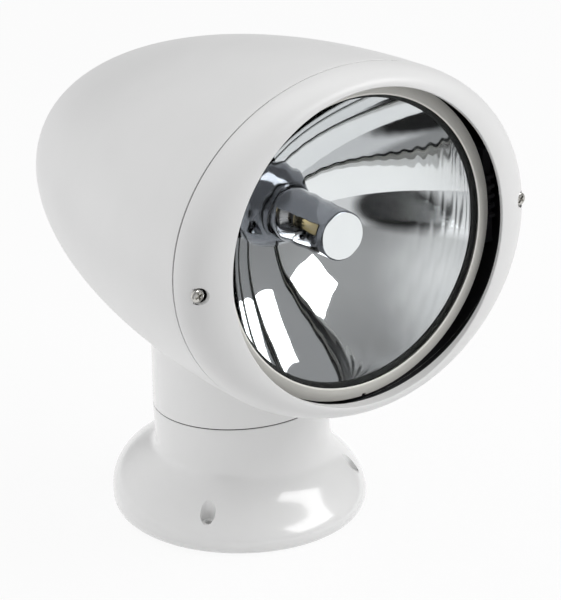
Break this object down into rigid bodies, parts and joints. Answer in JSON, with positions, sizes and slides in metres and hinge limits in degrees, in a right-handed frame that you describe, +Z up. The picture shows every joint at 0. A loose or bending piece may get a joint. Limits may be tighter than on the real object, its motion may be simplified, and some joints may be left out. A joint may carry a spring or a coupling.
{
  "type": "remote_control_searchlight",
  "caption": "White egg-shaped marine searchlight on a flared pedestal; the head pans on a spindle and the round lamp tilts inside an oval bezel.",
  "frame": {"origin": "On the pan axis, in the mouth of the cable entry, level with the deck", "axes": "+Z up; the lamp faces -Y at rest; +X is to the right for someone who looks into the lamp"},
  "size_m": [0.236, 0.3063, 0.311],
  "materials": {
    "satin_white": "satin-gloss moulded",
    "gloss_white": "polished moulded",
    "ring_cream": "satin",
    "lens_glass": "clear fluted",
    "mirror_coat": "vapour-coated mirror",
    "bulb_glass": "gold-tinted",
    "shield_metal": "satin",
    "stainless": "bright",
    "shaft_steel": "ground",
    "plate_alloy": "satin",
    "bronze": "machined",
    "pinion_brass": "machined",
    "gear_nylon": "natural",
    "dark_plastic": "moulded",
    "carrier_grey": "moulded",
    "seal_rubber": "matt"
  },
  "bodies": {
    "base": {"base_pedestal": "gloss_white", "base_plate": "plate_alloy", "base_plate_screws": "stainless", "deck_gasket": "seal_rubber", "cable_grommet": "seal_rubber", "spindle": "shaft_steel", "spindle_screws": "stainless", "pan_gear": "gear_nylon", "pan_gear_screws": "stainless", "thrust_washer": "bronze", "spindle_washer": "shaft_steel", "spindle_nut": "shaft_steel", "neck_seal": "seal_rubber"},
    "head": {"neck_collar": "gloss_white", "turntable": "plate_alloy", "turntable_screws": "stainless", "pan_bush": "bronze", "pan_gearbox": "dark_plastic", "pan_gearbox_screws": "stainless", "pan_motor": "shaft_steel", "head_shell": "satin_white", "collar_screws": "stainless", "bezel_gasket": "seal_rubber", "front_bezel": "satin_white", "bezel_screws": "stainless", "trunnion_bracket_left": "dark_plastic", "trunnion_bracket_right": "dark_plastic", "trunnion_bushes": "bronze", "bracket_screws": "stainless", "tilt_bracket": "dark_plastic", "tilt_bracket_screws": "stainless", "tilt_gearbox": "dark_plastic", "tilt_gearbox_screws": "stainless", "tilt_motor": "shaft_steel"},
    "pan_drive": {"pan_pinion": "pinion_brass"},
    "tilt_drive": {"tilt_pinion": "pinion_brass"},
    "lamp": {"lamp_carrier": "carrier_grey", "trunnion_pins": "shaft_steel", "reflector": "mirror_coat", "lens_gasket": "seal_rubber", "lens": "lens_glass", "retaining_ring": "ring_cream", "ring_screws": "stainless", "bulb_capsule": "bulb_glass", "bulb_base": "shaft_steel", "bulb_clip": "shaft_steel", "bulb_shield": "shield_metal", "rear_boot": "seal_rubber", "tilt_sector": "gear_nylon", "sector_screws": "stainless"}
  },
  "joints": [
    {"name": "pan", "type": "hinge", "parent": "base", "child": "head", "pos_m": [0, 0, 0.073], "axis": [0, 0, 1], "range_deg": [-180, 180]},
    {"name": "pan_pinion_spin", "type": "hinge", "parent": "head", "child": "pan_drive", "pos_m": [0, 0.03105, 0.066], "axis": [0, 0, 1], "range_deg": [-620, 620]},
    {"name": "tilt", "type": "hinge", "parent": "head", "child": "lamp", "pos_m": [0, -0.108, 0.209], "axis": [1, 0, 0], "range_deg": [-20, 20]},
    {"name": "tilt_pinion_spin", "type": "hinge", "parent": "head", "child": "tilt_drive", "pos_m": [0.0745, -0.03995, 0.209], "axis": [1, 0, 0], "range_deg": [-208, 208]}
  ],
  "couplings": [
    {"joint": "pan_pinion_spin", "follows": "pan", "ratio": 3.4286},
    {"joint": "tilt_pinion_spin", "follows": "tilt", "ratio": -10.333}
  ]
}
